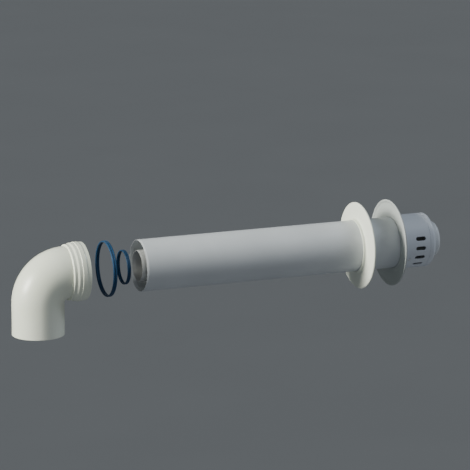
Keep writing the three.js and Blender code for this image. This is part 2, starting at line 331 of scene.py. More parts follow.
def turned(name: str, marks: list[Mark], angles: list[float], lie: Lie = Lie.ALONG,
           relief: Relief | None = None) -> bpy.types.Mesh:
    """Ring turned from a closed outline, or a solid turned from one that starts on the axis.

    Args:
        name: name of the mesh.
        marks: closed outline; its first and last points may lie on the axis.
        angles: where the sections stand, in order round the axis.
        lie: where the axis lies.
        relief: extra radius for a place on the section, from its radius and its angle.

    Returns:
        The finished mesh.
    """
    on_axis = marks[0].radius == marks[-1].radius == 0
    points = []
    for mark in marks:
        for angle in angles:
            extra = relief(mark.radius, angle) if relief else 0.0
            points.append(placed(lie, mark.along, mark.radius + extra, angle))
    wear = [mark.wear for mark in marks for _ in angles]
    mesh = named_mesh(name, points, grid_faces(len(marks), len(angles), not on_axis), wear)
    return joined(name, [mesh], WELD) if on_axis else finished(mesh)


def joined(name: str, meshes: list[bpy.types.Mesh], weld: float = 0.0) -> bpy.types.Mesh:
    """One mesh from several.

    Args:
        name: name of the new mesh.
        meshes: meshes to put together; they are removed.
        weld: distance within which points become one; 0 welds nothing.

    Returns:
        The finished mesh.
    """
    shape = bmesh.new()
    for mesh in meshes:
        shape.from_mesh(mesh)
        bpy.data.meshes.remove(mesh)
    if weld > 0:
        bmesh.ops.remove_doubles(shape, verts=shape.verts, dist=weld)
        bmesh.ops.recalc_face_normals(shape, faces=shape.faces)
    whole = bpy.data.meshes.new(name)
    shape.to_mesh(whole)
    shape.free()
    return finished(whole)


def linked(name: str, data: bpy.types.ID) -> bpy.types.Object:
    """New object in the scene, at the origin.

    Args:
        name: name of the object.
        data: its mesh, lamp or camera.

    Returns:
        The object.
    """
    shown = bpy.data.objects.new(name, data)
    bpy.context.scene.collection.objects.link(shown)
    return shown


# ---------------------------------------------------------------- node trees

Socket = bpy.types.NodeSocket
Fed = Socket | float | tuple[float, ...]         # what an input can be given
Feeds = dict[str, Fed] | tuple[Fed, ...]         # the same for inputs by name, or in order


class Kind(Enum):
    """Kinds of socket on the outside of a node tree."""

    NUMBER = "NodeSocketFloat"
    COUNT = "NodeSocketInt"
    VECTOR = "NodeSocketVector"
    COLOUR = "NodeSocketColor"
    GEOMETRY = "NodeSocketGeometry"
    MATERIAL = "NodeSocketMaterial"


class Bench:
    """Places and links the nodes of one tree."""

    def __init__(self, tree: bpy.types.NodeTree) -> None:
        """Starts work on a tree."""
        self.tree = tree

    def open(self, inputs: dict[str, Kind], outputs: dict[str, Kind]) -> dict[str, Socket]:
        """Gives the tree its named inputs and outputs.

        Args:
            inputs: kind of each input.
            outputs: kind of each output.

        Returns:
            What the inputs put into the tree, by name.
        """
        for way, sockets in (("INPUT", inputs), ("OUTPUT", outputs)):
            for name, kind in sockets.items():
                self.tree.interface.new_socket(name=name, in_out=way, socket_type=kind.value)
        given = self.add("NodeGroupInput").outputs
        return {name: given[name] for name in inputs}

    def wire(self, node: bpy.types.Node, feeds: Feeds) -> None:
        """Links sockets to a node's inputs, or sets their values.

        Args:
            node: the node.
            feeds: what its inputs get, by name or in order.
        """
        for key, value in feeds.items() if isinstance(feeds, dict) else enumerate(feeds):
            if isinstance(value, Socket):
                self.tree.links.new(value, node.inputs[key])
            else:
                node.inputs[key].default_value = value

    def add(self, kind: str, feeds: Feeds = (), **settings: object) -> bpy.types.Node:
        """New node.

        Args:
            kind: Blender's name for the node.
            feeds: what its inputs get, by name or in order.
            settings: its properties.

        Returns:
            The node.
        """
        node = self.tree.nodes.new(kind)
        for name, value in settings.items():
            setattr(node, name, value)
        self.wire(node, feeds)
        return node

    def made(self, kind: str, feeds: Feeds = (), **settings: object) -> Socket:
        """First output of a new node."""
        return self.add(kind, feeds, **settings).outputs[0]

    def math(self, operation: str, *values: Fed) -> Socket:
        """Result of one sum on sockets or numbers."""
        return self.made("ShaderNodeMath", values, operation=operation)

    def vector(self, *values: Fed) -> Socket:
        """Vector put together from three sockets or numbers."""
        return self.made("ShaderNodeCombineXYZ", values)

    def parts(self, vector: Socket) -> list[Socket]:
        """X, Y and Z of a vector."""
        return list(self.add("ShaderNodeSeparateXYZ", (vector,)).outputs)

    def vectors(self, operation: str, one: Fed, other: Fed) -> Socket:
        """Result of one sum on two vectors."""
        return self.made("ShaderNodeVectorMath", (one, other), operation=operation)

    def noise(self, place: Socket, scale: Fed, detail: float) -> Socket:
        """Value of a noise pattern at a place."""
        return self.made("ShaderNodeTexNoise", {"Vector": place, "Scale": scale, "Detail": detail})

    def stepped(self, value: Socket, low: float, high: float) -> Socket:
        """Value spread smoothly from 0 at low to 1 at high."""
        return self.made("ShaderNodeMapRange", {"Value": value, "From Min": low, "From Max": high},
                         interpolation_type="SMOOTHSTEP")

    def mixed(self, share: Socket, one: Fed, other: Fed) -> Socket:
        """Colour between two others."""
        feeds = {"Factor": share, "A": one, "B": other}
        return self.add("ShaderNodeMix", feeds, data_type="RGBA").outputs["Result"]


class Follower:
    """A Geometry Nodes tree with named inputs, run once on a piece and then taken off."""

    def __init__(self, name: str, inputs: dict[str, Kind]) -> None:
        """Starts a tree.

        Args:
            name: name of the tree.
            inputs: kind of each input besides the geometry and the material.
        """
        self.bench = Bench(bpy.data.node_groups.new(name, "GeometryNodeTree"))
        self.given = self.bench.open(
            {"Geometry": Kind.GEOMETRY, **inputs, "Material": Kind.MATERIAL},
            {"Geometry": Kind.GEOMETRY})

    def close(self, geometry: Socket, weld: float = 0.0) -> "Follower":
        """Ends the tree with real geometry that has its material.

        Args:
            geometry: result of the tree.
            weld: distance within which points become one.

        Returns:
            This follower, ready to run.
        """
        bench = self.bench
        result = bench.made("GeometryNodeRealizeInstances", {"Geometry": geometry})
        if weld > 0:
            feeds = {"Geometry": result, "Distance": weld}
            result = bench.made("GeometryNodeMergeByDistance", feeds)
        feeds = {"Geometry": result, "Material": self.given["Material"]}
        dressed = bench.made("GeometryNodeSetMaterial", feeds)
        bench.add("NodeGroupOutput", {"Geometry": dressed})
        return self

    def run(self, name: str, seed: bpy.types.Mesh, material: bpy.types.Material,
            sizes: dict[str, object]) -> bpy.types.Mesh:
        """Plain mesh that the tree makes.

        Args:
            name: name of the result.
            seed: mesh that goes into the tree; it is removed.
            material: finish of the result.
            sizes: value of each named input.

        Returns:
            The finished mesh.
        """
        carrier = linked(f"{name}_carrier", seed)
        modifier = carrier.modifiers.new(self.bench.tree.name, "NODES")
        modifier.node_group = self.bench.tree
        values = {**sizes, "Material": material}
        for item in self.bench.tree.interface.items_tree:
            if item.in_out == "INPUT" and item.name in values:
                modifier[item.identifier] = values[item.name]
        depsgraph = bpy.context.evaluated_depsgraph_get()
        mesh = bpy.data.meshes.new_from_object(
            carrier.evaluated_get(depsgraph), preserve_all_data_layers=True, depsgraph=depsgraph)
        carrier.modifiers.clear()
        bpy.data.objects.remove(carrier)
        bpy.data.meshes.remove(seed)
        mesh.name = name
        return finished(mesh)


@functools.cache
def elbow_line() -> Follower:
    """Bends a straight upright shape round the elbow: up the leg, round, and out level.

    Returns:
        The follower.
    """
    work = Follower("elbow_line", {"Leg Top": Kind.NUMBER, "Bend Radius": Kind.NUMBER})
    bench, given = work.bench, work.given
    leg_top, bend = given["Leg Top"], given["Bend Radius"]
    across, side, along = bench.parts(bench.made("GeometryNodeInputPosition"))
    past_leg = bench.math("SUBTRACT", along, leg_top)
    turn = bench.math("MAXIMUM", bench.math("DIVIDE", past_leg, bend), 0.0)
    turn = bench.math("MINIMUM", turn, QUARTER_TURN)
    past_bend = bench.math("SUBTRACT", past_leg, bench.math("MULTIPLY", bend, QUARTER_TURN))
    reach = bench.math("SUBTRACT", bend, across)
    fall = bench.math("MULTIPLY", reach, bench.math("COSINE", turn))
    rise = bench.math("MULTIPLY", reach, bench.math("SINE", turn))
    forward = bench.math("ADD", bench.math("SUBTRACT", bend, fall),
                         bench.math("MAXIMUM", past_bend, 0.0))
    height = bench.math("ADD", bench.math("MINIMUM", along, leg_top), rise)
    return work.close(bench.made("GeometryNodeSetPosition", {
        "Geometry": given["Geometry"], "Position": bench.vector(forward, side, height)}))


@functools.cache
def round_the_pipe() -> Follower:
    """Repeats a piece round the pipe's axis, which for the piece is the X axis.

    Returns:
        The follower.
    """
    work = Follower("round_the_pipe", {
        "Count": Kind.COUNT, "First Angle": Kind.NUMBER, "Pitch": Kind.NUMBER,
        "Axis Height": Kind.NUMBER})
    bench, given = work.bench, work.given
    number = bench.made("GeometryNodeInputIndex")
    angle = bench.math("MULTIPLY_ADD", number, given["Pitch"], given["First Angle"])
    spots = bench.made("GeometryNodePoints", {
        "Count": given["Count"], "Position": bench.vector(0.0, 0.0, given["Axis Height"])})
    return work.close(bench.made("GeometryNodeInstanceOnPoints", {
        "Points": spots, "Instance": given["Geometry"],
        "Rotation": bench.vector(angle, 0.0, 0.0)}), WELD)


@functools.cache
def bars_across() -> Follower:
    """Repeats an upright bar across a round opening, each as long as the opening is there.

    Returns:
        The follower.
    """
    work = Follower("bars_across", {
        "Count": Kind.COUNT, "Pitch": Kind.NUMBER, "Opening": Kind.NUMBER,
        "Middle": Kind.VECTOR})
    bench, given = work.bench, work.given
    opening, number = given["Opening"], bench.made("GeometryNodeInputIndex")
    centred = bench.math("SUBTRACT", given["Count"], 1.0)
    centred = bench.math("MULTIPLY_ADD", centred, -0.5, number)
    side = bench.math("MULTIPLY", centred, given["Pitch"])
    place = bench.vectors("ADD", given["Middle"], bench.vector(0.0, side, 0.0))
    spots = bench.made("GeometryNodePoints", {"Count": given["Count"], "Position": place})
    square = bench.math("MULTIPLY", opening, opening)
    half = bench.math("SQRT", bench.math("SUBTRACT", square, bench.math("MULTIPLY", side, side)))
    stretch = bench.vector(1.0, 1.0, bench.math("DIVIDE", half, opening))
    return work.close(bench.made("GeometryNodeInstanceOnPoints", {
        "Points": spots, "Instance": given["Geometry"], "Scale": stretch}))


@functools.cache
def humped_strip() -> Follower:
    """Bends a narrow strip into a ring with humps, round the Z axis, and lays it in place.

    Returns:
        The follower.
    """
    work = Follower("humped_strip", {
        "Rest Radius": Kind.NUMBER, "Rise": Kind.NUMBER, "Thickness": Kind.NUMBER,
        "Width": Kind.NUMBER, "Rounding": Kind.NUMBER, "Humps": Kind.COUNT,
        "Middle": Kind.VECTOR, "Turn": Kind.VECTOR})
    bench, given = work.bench, work.given
    ring = bench.made("GeometryNodeCurvePrimitiveCircle", {"Resolution": 216, "Radius": 1.0})
    place = bench.made("GeometryNodeInputPosition")
    across, side, _ = bench.parts(place)
    angle = bench.math("ARCTAN2", side, across)
    wave = bench.math("COSINE", bench.math("MULTIPLY", angle, given["Humps"]))
    hump = bench.math("POWER", bench.math("MULTIPLY_ADD", wave, 0.5, 0.5), 2.0)
    radius = bench.math("MULTIPLY_ADD", hump, given["Rise"], given["Rest Radius"])
    radius = bench.math("ADD", radius, bench.math("MULTIPLY", given["Thickness"], 0.5))
    line = bench.made("GeometryNodeSetPosition", {
        "Geometry": ring,
        "Position": bench.vectors("MULTIPLY", place, bench.vector(radius, radius, 0.0))})
    line = bench.made("GeometryNodeSetCurveNormal", {"Curve": line}, mode="Z_UP")
    section = bench.made("GeometryNodeCurvePrimitiveQuadrilateral", {
        "Width": given["Thickness"], "Height": given["Width"]})
    section = bench.made("GeometryNodeFilletCurve", {
        "Curve": section, "Count": 3, "Radius": given["Rounding"]}, mode="POLY")
    strip = bench.made("GeometryNodeCurveToMesh", {"Curve": line, "Profile Curve": section})
    return work.close(bench.made("GeometryNodeTransform", {
        "Geometry": strip, "Translation": given["Middle"], "Rotation": given["Turn"]}))


# ---------------------------------------------------------------- finishes

BROAD_GRAIN = 0.12              # broad unevenness of a skin, per fine grain
SPECKLES = 45.0                 # speckles to a tone patch
MARKS_PER_METRE = 18.0          # smudges
FINER = (28.0, 0.7, 9.0)        # hair scratches, patches of them, and rubbed spots per smudge
STREAK_LEAN = (0.5, 0.9, 0.3)   # way that hair scratches run
STREAK_DRAW = (0.06, 1.0, 1.0)  # and how far they are drawn out
SCRATCH_SHOWS = 0.35            # of the wear that a rubbed edge shows
SCRATCH_DEPTH = -0.6            # in grain heights
DULLING = {"Smudge": 0.10, "Rub": 0.08, "Scratch": 0.12}    # roughness that each mark adds


def opaque(colour: Colour) -> tuple[float, ...]:
    """Colour with full alpha."""
    return *colour, 1.0


def new_group(name: str) -> Bench:
    """Bench of a new shader node group."""
    return Bench(bpy.data.node_groups.new(name, "ShaderNodeTree"))


def new_material(name: str) -> tuple[bpy.types.Material, Bench, bpy.types.Node]:
    """Starts a material.

    Args:
        name: name of the material.

    Returns:
        The material, the bench of its tree, and its shader.
    """
    material = bpy.data.materials.new(name)
    material.use_nodes = True
    shader = next(n for n in material.node_tree.nodes if n.type == "BSDF_PRINCIPLED")
    return material, Bench(material.node_tree), shader


@functools.cache
def surface_grain() -> bpy.types.NodeTree:
    """Height of the fine unevenness that a mould or a die leaves, drawn out along one axis.

    Returns:
        The group.
    """
    bench = new_group("surface_grain")
    given = bench.open(
        {"Vector": Kind.VECTOR, "Scale": Kind.NUMBER, "Draw": Kind.VECTOR, "Swell": Kind.NUMBER},
        {"Height": Kind.NUMBER})
    place = bench.vectors("MULTIPLY", given["Vector"], given["Draw"])
    fine = bench.noise(place, given["Scale"], 3.0)
    broad = bench.noise(place, bench.math("MULTIPLY", given["Scale"], BROAD_GRAIN), 1.0)
    height = bench.math("MULTIPLY_ADD", broad, given["Swell"], fine)
    bench.add("NodeGroupOutput", {"Height": height})
    return bench.tree


@functools.cache
def tone_drift() -> bpy.types.NodeTree:
    """Colour that drifts between two near tones, as the cooling of a moulding leaves it.

    Returns:
        The group.
    """
    bench = new_group("tone_drift")
    given = bench.open(
        {"Vector": Kind.VECTOR, "Main": Kind.COLOUR, "Second": Kind.COLOUR,
         "Scale": Kind.NUMBER, "Speckle": Kind.NUMBER},
        {"Color": Kind.COLOUR})
    place, scale = given["Vector"], given["Scale"]
    broad = bench.stepped(bench.noise(place, scale, 2.0), 0.3, 0.7)
    fine = bench.noise(place, bench.math("MULTIPLY", scale, SPECKLES), 2.0)
    fine = bench.math("MULTIPLY", bench.math("SUBTRACT", fine, 0.5), given["Speckle"])
    share = bench.math("ADD", broad, fine)
    bench.add("NodeGroupOutput", {"Color": bench.mixed(share, given["Main"], given["Second"])})
    return bench.tree


@functools.cache
def handling() -> bpy.types.NodeTree:
    """Marks of handling: dull smudges, hair scratches, and rubbed crests of rounded edges.

    Returns:
        The group.
    """
    bench = new_group("handling")
    given = bench.open(
        {"Vector": Kind.VECTOR, "Edge": Kind.NUMBER, "Scale": Kind.NUMBER},
        {"Smudge": Kind.NUMBER, "Scratch": Kind.NUMBER, "Rub": Kind.NUMBER})
    place = given["Vector"]
    hairs, patches, rubs = (bench.math("MULTIPLY", given["Scale"], times) for times in FINER)
    lean = bench.made("ShaderNodeVectorRotate", {"Vector": place, "Rotation": STREAK_LEAN},
                      rotation_type="EULER_XYZ")
    streaks = bench.vectors("MULTIPLY", lean, STREAK_DRAW)
    hair = bench.stepped(bench.noise(streaks, hairs, 2.0), 0.69, 0.76)
    patch = bench.stepped(bench.noise(place, patches, 1.0), 0.45, 0.65)
    worn = bench.stepped(bench.noise(place, rubs, 3.0), 0.35, 0.65)
    bench.add("NodeGroupOutput", {
        "Smudge": bench.stepped(bench.noise(place, given["Scale"], 4.0), 0.42, 0.72),
        "Scratch": bench.math("MULTIPLY", hair, patch),
        "Rub": bench.math("MULTIPLY", worn, given["Edge"])})
    return bench.tree


@dataclass(frozen=True)
class Finish:
    """What a surface looks like. Kinds of finish add the constants of their shader."""

    name: str
    slot: Slot
    colour: Colour
    second: Colour                       # the tone that the colour drifts to
    rubbed: Colour                       # the tone of rubbed edges; on the pipes' sawn ends it is painted shade
    roughness: float
    drift: float = 12.0                  # tone patches per metre
    speckle: float = 0.1
    grain: float = 900.0                 # grains per metre
    grain_height: float = 0.02 * MM
    draw: Triple = (1.0, 1.0, 1.0)       # below 1 draws the grain out along that axis
    swell: float = 0.5                   # broad unevenness, beside the fine one
    wear: float = 0.35

    def constants(self) -> dict[str, float]:
        """Constants of the shader."""
        return {}

    @functools.cache
    def material(self) -> bpy.types.Material:
        """Material on object coordinates, with its groups placed and linked.

        Returns:
            The material, made once.
        """
        material, bench, shader = new_material(self.name)
        place = bench.add("ShaderNodeTexCoord").outputs["Object"]
        edge = bench.add("ShaderNodeAttribute", attribute_name=WEAR).outputs["Fac"]
        tone = bench.made("ShaderNodeGroup", {
            "Vector": place, "Main": opaque(self.colour), "Second": opaque(self.second),
            "Scale": self.drift, "Speckle": self.speckle}, node_tree=tone_drift())
        marks = bench.add("ShaderNodeGroup", {
            "Vector": place, "Edge": edge, "Scale": MARKS_PER_METRE},
            node_tree=handling()).outputs
        grain = bench.made("ShaderNodeGroup", {
            "Vector": place, "Scale": self.grain, "Draw": self.draw, "Swell": self.swell},
            node_tree=surface_grain())
        worn = bench.math("MULTIPLY", marks["Rub"], self.wear)
        scratched = bench.math("MULTIPLY", marks["Scratch"], self.wear * SCRATCH_SHOWS)
        share = bench.math("MAXIMUM", worn, scratched)
        dull: Fed = self.roughness
        for mark, added in DULLING.items():
            dull = bench.math("MULTIPLY_ADD", marks[mark], added, dull)
        height = bench.math("MULTIPLY_ADD", marks["Scratch"], SCRATCH_DEPTH, grain)
        bump = {"Distance": self.grain_height, "Height": height}
        bench.wire(shader, {
            "Base Color": bench.mixed(share, tone, opaque(self.rubbed)), "Roughness": dull,
            "Normal": bench.made("ShaderNodeBump", bump), **self.constants()})
        return material


@dataclass(frozen=True)
class Plastic(Finish):
    """Moulded or extruded plastic."""

    gloss: float = 0.15                  # clear skin of the moulding

    def constants(self) -> dict[str, float]:
        """A smooth skin over the body colour."""
        return {"IOR": 1.5, "Coat Weight": self.gloss, "Coat Roughness": 0.18}


@dataclass(frozen=True)
class Rubber(Finish):
    """Silicone rubber."""

    bloom: float = 0.06

    def constants(self) -> dict[str, float]:
        """The faint bloom of silicone."""
        return {"IOR": 1.43, "Sheen Weight": self.bloom, "Sheen Roughness": 0.4}


@dataclass(frozen=True)
class Metal(Finish):
    """Bare metal."""

    brushed: float = 0.4

    def constants(self) -> dict[str, float]:
        """A metal, brushed or plain."""
        return {"Metallic": 1.0, "Anisotropic": self.brushed}
ELBOW_WHITE = Plastic(
    "moulded_warm_white", Slot.ELBOW, (0.76, 0.80, 0.67), (0.79, 0.82, 0.71), (0.86, 0.87, 0.81),
    roughness=0.34, grain=700.0, swell=1.4, gloss=0.2)
# Its rubbed tone is dark. On the rounded crests it is worn dirt; on the sawn ends it is painted shade
# that keeps the lit end faces dark.
PIPE_WHITE = Plastic(
    "extruded_grey_white", Slot.PIPE, (0.55, 0.58, 0.60), (0.59, 0.62, 0.64),
    (0.24, 0.24, 0.23), wear=0.8, roughness=0.38, grain=420.0, draw=(0.02, 1.0, 1.0), swell=2.0,
    grain_height=0.03 * MM)
# Its darker rubbed tone is worn dirt on rounded crests and painted shade on the flue pipe's sawn
# ends.
LINER_GREY = Plastic(
    "flue_liner_grey", Slot.LINER, (0.47, 0.48, 0.47), (0.42, 0.43, 0.42), (0.33, 0.33, 0.32),
    roughness=0.48, grain=380.0, draw=(0.03, 1.0, 1.0), speckle=0.3, gloss=0.05)
SEAL_BLUE = Rubber(
    "blue_silicone", Slot.SEAL, (0.001, 0.034, 0.09), (0.001, 0.044, 0.115), (0.004, 0.06, 0.14),
    roughness=0.55, grain=1400.0, grain_height=0.015 * MM, wear=0.5)
ROOM_ROSETTE_WHITE = Plastic(
    "flexible_warm_white", Slot.ROSETTE, (0.74, 0.78, 0.68), (0.77, 0.80, 0.71),
    (0.86, 0.87, 0.81), roughness=0.46, grain=1100.0, swell=0.8, gloss=0.05)
# Darker copy of the rosette's white: painted shade for the shadow that the room rosette casts on the
# outside rosette, and for its hollow face turned from the light.
OUTSIDE_ROSETTE_SHADED_WHITE = Plastic(
    "painted_shade_cool_white", Slot.ROSETTE, (0.41, 0.44, 0.43), (0.45, 0.48, 0.47),
    (0.56, 0.59, 0.58), roughness=0.5, grain=1100.0, swell=0.8, gloss=0.05)
TERMINAL_WHITE = Plastic(
    "moulded_cool_white", Slot.TERMINAL, (0.62, 0.66, 0.72), (0.66, 0.70, 0.75),
    (0.76, 0.78, 0.81), roughness=0.42, grain=800.0, swell=1.2)
NOZZLE_WHITE = Plastic(
    "moulded_liner_white", Slot.LINER, (0.66, 0.69, 0.71), (0.63, 0.66, 0.68),
    (0.76, 0.78, 0.79), roughness=0.42, grain=800.0, swell=1.0, gloss=0.08)
SPRING_STEEL = Metal(
    "bent_stainless_strip", Slot.SPRING, (0.56, 0.57, 0.58), (0.50, 0.51, 0.52),
    (0.74, 0.74, 0.74), roughness=0.26, drift=40.0, grain=2400.0, draw=(0.05, 1.0, 1.0),
    grain_height=0.01 * MM, wear=0.6)
RIVET_METAL = Metal(
    "rivet_aluminium", Slot.RIVET, (0.70, 0.71, 0.72), (0.63, 0.64, 0.65), (0.84, 0.84, 0.84),
    roughness=0.33, drift=120.0, grain=2600.0, grain_height=0.01 * MM, wear=0.6, brushed=0.0)


# ---------------------------------------------------------------- pieces


@dataclass(frozen=True)
class Piece:
    """A finished mesh with what it stands for."""

    mesh: bpy.types.Mesh
    body: Body
    finish: Finish
    nodes: tuple[str, ...]

    def fit(self) -> None:
        """Puts the piece in the scene, dresses it and hangs it on its body."""
        self.mesh.materials.clear()
        self.mesh.materials.append(self.finish.material())
        shown = linked(self.mesh.name, self.mesh)
        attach(shown, self.body.value)
        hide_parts(*self.nodes)


class SubAssembly:
    def pieces(self) -> list[Piece]:
        """Pieces of this part, built and ready to fit."""
        raise NotImplementedError


@dataclass(frozen=True)
class ElbowBend(SubAssembly):
    """The elbow: an outer bend with a beaded socket, and the inner bend that carries the gas."""

    shell: Extent
    liner: Extent
    wall: float = 2 * MM
    throat: float = 5 * MM               # inside radius of the outer bend
    clearance: float = 0.5 * MM          # pipe in its socket
    stop_depth: float = 32 * MM          # mouth to the stop for the air pipe
    seat_depth: float = 24 * MM          # mouth to the shoulder of the seal's seat
    seat_wall: float = 2.3 * MM
    neck_length: float = 10 * MM         # first step up from the tube to the seat's shoulder
    neck_rise: float = 3.4 * MM
    neck_slope: float = 3.5 * MM         # soft rise from the neck to the waist
    waist_width: float = 7 * MM          # plain band between the neck and the bead
    waist_drop: float = 1.1 * MM         # how far it lies below the bead
    bead_width: float = 8 * MM
    end_slope: float = 2 * MM            # fall from the bead to the mouth
    end_drop: float = 0.7 * MM
    liner_step: float = 2 * MM
    liner_slope: float = 4 * MM          # rise of the inner socket before its seat
    liner_seat: float = 3.7 * MM         # seal's room round the flue pipe
    seam: float = 0.16 * MM              # height of the mould's parting line
    seam_half: float = math.radians(0.5)
    sides: int = 120
    row: float = 2.5 * MM

    @classmethod
    def from_frame(cls) -> "ElbowBend":
        """The elbow where the frame has it."""
        return cls(Extent.of("elbow_outer_shell"), Extent.of("elbow_inner_bend"))

    @property
    def tube(self) -> float:
        """Outside radius of the leg."""
        return -self.shell.low.x

    @property
    def bend(self) -> float:
        """Radius of the bend's centre line."""
        return self.tube + self.throat

    @property
    def leg_top(self) -> float:
        """Height at which the leg starts to bend."""
        return AXIS_Z - self.bend

    def section(self, foot: list[Corner], level: list[Corner]) -> list[Mark]:
        """Section of a bend, drawn out straight.

        Args:
            foot: corners at the foot of the leg, by their height.
            level: corners past the bend, by their place along the pipe.

        Returns:
            Closed outline.
        """
        start = self.leg_top + self.bend * QUARTER_TURN
        drawn_out = [(start + x - self.bend, radius, soft) for x, radius, soft in level]
        return rounded([*foot, *drawn_out], self.row)

    def shell_outline(self) -> list[Mark]:
        """Section of the outer bend.

        Returns:
            Closed outline, up the outside and back down the bore.
        """
        tube, mouth, crest = self.tube, self.shell.high.x, self.shell.radius
        waist, end, neck = crest - self.waist_drop, crest - self.end_drop, tube + self.neck_rise
        seat, bore, inside = crest - self.seat_wall, tube + self.clearance, tube - self.wall
        seat_x, stop_x = mouth - self.seat_depth, mouth - self.stop_depth
        neck_x, bead_x = seat_x - self.neck_length, seat_x + self.waist_width
        bead_end = bead_x + self.bead_width
        soft, crisp = 0.9 * MM, 0.4 * MM
        return self.section([(0, inside, crisp), (0, tube, soft)], [
            (neck_x, tube, soft), (neck_x + crisp, neck, 1.2 * MM),
            (seat_x - self.neck_slope, neck, 2 * MM), (seat_x, waist, 2 * MM),
            (bead_x - crisp, waist, soft), (bead_x, crest, 1.6 * MM),
            (bead_end, crest, 3 * MM), (bead_end + self.end_slope, end, 3 * MM),
            (mouth, end, 1.8 * MM), (mouth, seat, soft),
            (seat_x, seat, crisp), (seat_x, bore, crisp),
            (stop_x, bore, crisp), (stop_x, inside, crisp)])

    def liner_outline(self) -> list[Mark]:
        """Section of the inner bend.

        Returns:
            Closed outline, up the outside and back down the bore.
        """
        tube, foot, mouth = -self.liner.low.x, self.liner.low.z, self.liner.high.x
        crest, bore, inside = self.liner.high.z - AXIS_Z, tube + self.clearance, tube - self.wall
        seat, sleeve = tube + self.liner_seat, bore + self.wall
        step_x, seat_x = self.bend + self.clearance, self.shell.high.x - self.seat_depth
        slope_x = seat_x - self.liner_slope
        soft, crisp = 0.8 * MM, 0.3 * MM
        return self.section([(foot, inside, crisp), (foot, tube, 0.6 * MM)], [
            (step_x - self.liner_step, tube, soft), (step_x, sleeve, soft),
            (slope_x, sleeve, soft), (slope_x + self.liner_step, crest, soft),
            (mouth, crest, 0.7 * MM), (mouth, seat, 0.5 * MM),
            (seat_x, seat, crisp), (seat_x, bore, crisp),
            (step_x, bore, crisp), (step_x, inside, crisp)])

    def parting_line(self, radius: float, angle: float) -> float:
        """Extra radius of the outside where the two halves of the mould met.

        Args:
            radius: distance of a point from the centre line.
            angle: its way round that line.

        Returns:
            How far the point moves out.
        """
        off = abs(math.remainder(angle, HALF_TURN))
        if radius < self.tube - self.wall / 2 or off >= self.seam_half:
            return 0.0
        return self.seam * (1 - off / self.seam_half)

    def bent(self, name: str, marks: list[Mark], finish: Finish,
             relief: Relief | None = None) -> bpy.types.Mesh:
        """Turned section led round the elbow.

        Args:
            name: name of the piece.
            marks: section, drawn out straight.
            finish: its finish.
            relief: extra radius round the section.

        Returns:
            The bent mesh.
        """
        angles = seam_angles(self.sides, self.seam_half) if relief else even_angles(self.sides)
        straight = turned(f"{name}_straight", marks, angles, Lie.UP, relief)
        sizes = {"Leg Top": self.leg_top, "Bend Radius": self.bend}
        return elbow_line().run(name, straight, finish.material(), sizes)

    def pieces(self) -> list[Piece]:
        """The outer and the inner bend.

        Returns:
            Both pieces.
        """
        shell = self.bent("elbow_shell", self.shell_outline(), ELBOW_WHITE, self.parting_line)
        liner = self.bent("elbow_liner", self.liner_outline(), LINER_GREY)
        return [Piece(shell, Body.ELBOW, ELBOW_WHITE, ("elbow_outer_shell",)),
                Piece(liner, Body.ELBOW, LINER_GREY, ("elbow_inner_bend",))]


@dataclass(frozen=True)
class CentringSpring(SubAssembly):
    """Spring that keeps one tube in the middle of another: a strip bent into humps."""

    name: str
    node: str
    body: Body
    lie: Lie = Lie.ALONG
    strip: float = 1.2 * MM
    rounding: float = 0.35 * MM
    humps: int = 3

    def pieces(self) -> list[Piece]:
        """The bent strip, one hump up, or towards the back of the bend in the leg.

        Returns:
            The one piece.
        """
        place = Extent.of(self.node)
        low, high, middle = place.low, place.high, place.middle
        if self.lie is Lie.ALONG:
            crest, foot, width = high.z - AXIS_Z, AXIS_Z - low.z, place.length
            centre, turn = (middle.x, 0.0, AXIS_Z), (0.0, -QUARTER_TURN, 0.0)
        else:
            crest, foot, width = -low.x, high.x, high.z - low.z
            centre, turn = (0.0, 0.0, middle.z), (0.0, 0.0, HALF_TURN)
        sizes = {
            "Rest Radius": foot - self.strip, "Rise": crest - foot, "Thickness": self.strip,
            "Width": width, "Rounding": self.rounding, "Humps": self.humps, "Middle": centre,
            "Turn": turn}
        seed = bpy.data.meshes.new(f"{self.name}_seed")
        mesh = humped_strip().run(self.name, seed, SPRING_STEEL.material(), sizes)
        return [Piece(mesh, self.body, SPRING_STEEL, (self.node,))]


@dataclass(frozen=True)
class Ring(SubAssembly):
    """Part that is one ring about the pipe's axis. Each kind draws its own section."""

    name: str
    node: str
    body: Body
    finish: Finish
    sides: ClassVar[int] = 160

    @property
    def place(self) -> Extent:
        """Where the frame has the ring."""
        return Extent.of(self.node)

    def outline(self) -> list[Mark]:
        """Closed section of the ring."""
        raise NotImplementedError

    def pieces(self) -> list[Piece]:
        """The ring."""
        ring = turned(self.name, self.outline(), even_angles(self.sides))
        return [Piece(ring, self.body, self.finish, (self.node,))]


@dataclass(frozen=True)
class LipSeal(Ring):
    """Seal: two rounded ribs outside, a wiping lip inside."""

    rise: float
    rib: float = 0.24                    # width of a rib's flank, as a share of the seal's width
    waist: float = 0.3                   # dip between the ribs, as a share of the rise
    groove: float = 0.22                 # groove between the lips, as a share of the rise
    sides: ClassVar[int] = 144

    def outline(self) -> list[Mark]:
        """Section of the seal.

        Returns:
            Closed outline.
        """
        low, high, middle = self.place.low.x, self.place.high.x, self.place.middle.x
        top, width = self.place.radius, self.place.length
        bore, flank, soft = top - self.rise, self.rib * width, self.rise / 4
        side = bore + self.rise * self.waist
        return rounded([
            (low, side, soft), (low, top - soft, soft), (low + flank, top, soft),
            (middle, top - self.rise * self.waist, soft), (high - flank, top, soft),
            (high, top - soft, soft), (high, side, soft), (high - flank, bore, soft),
            (middle, bore + self.rise * self.groove, soft), (low + flank, bore, soft),
        ], width)


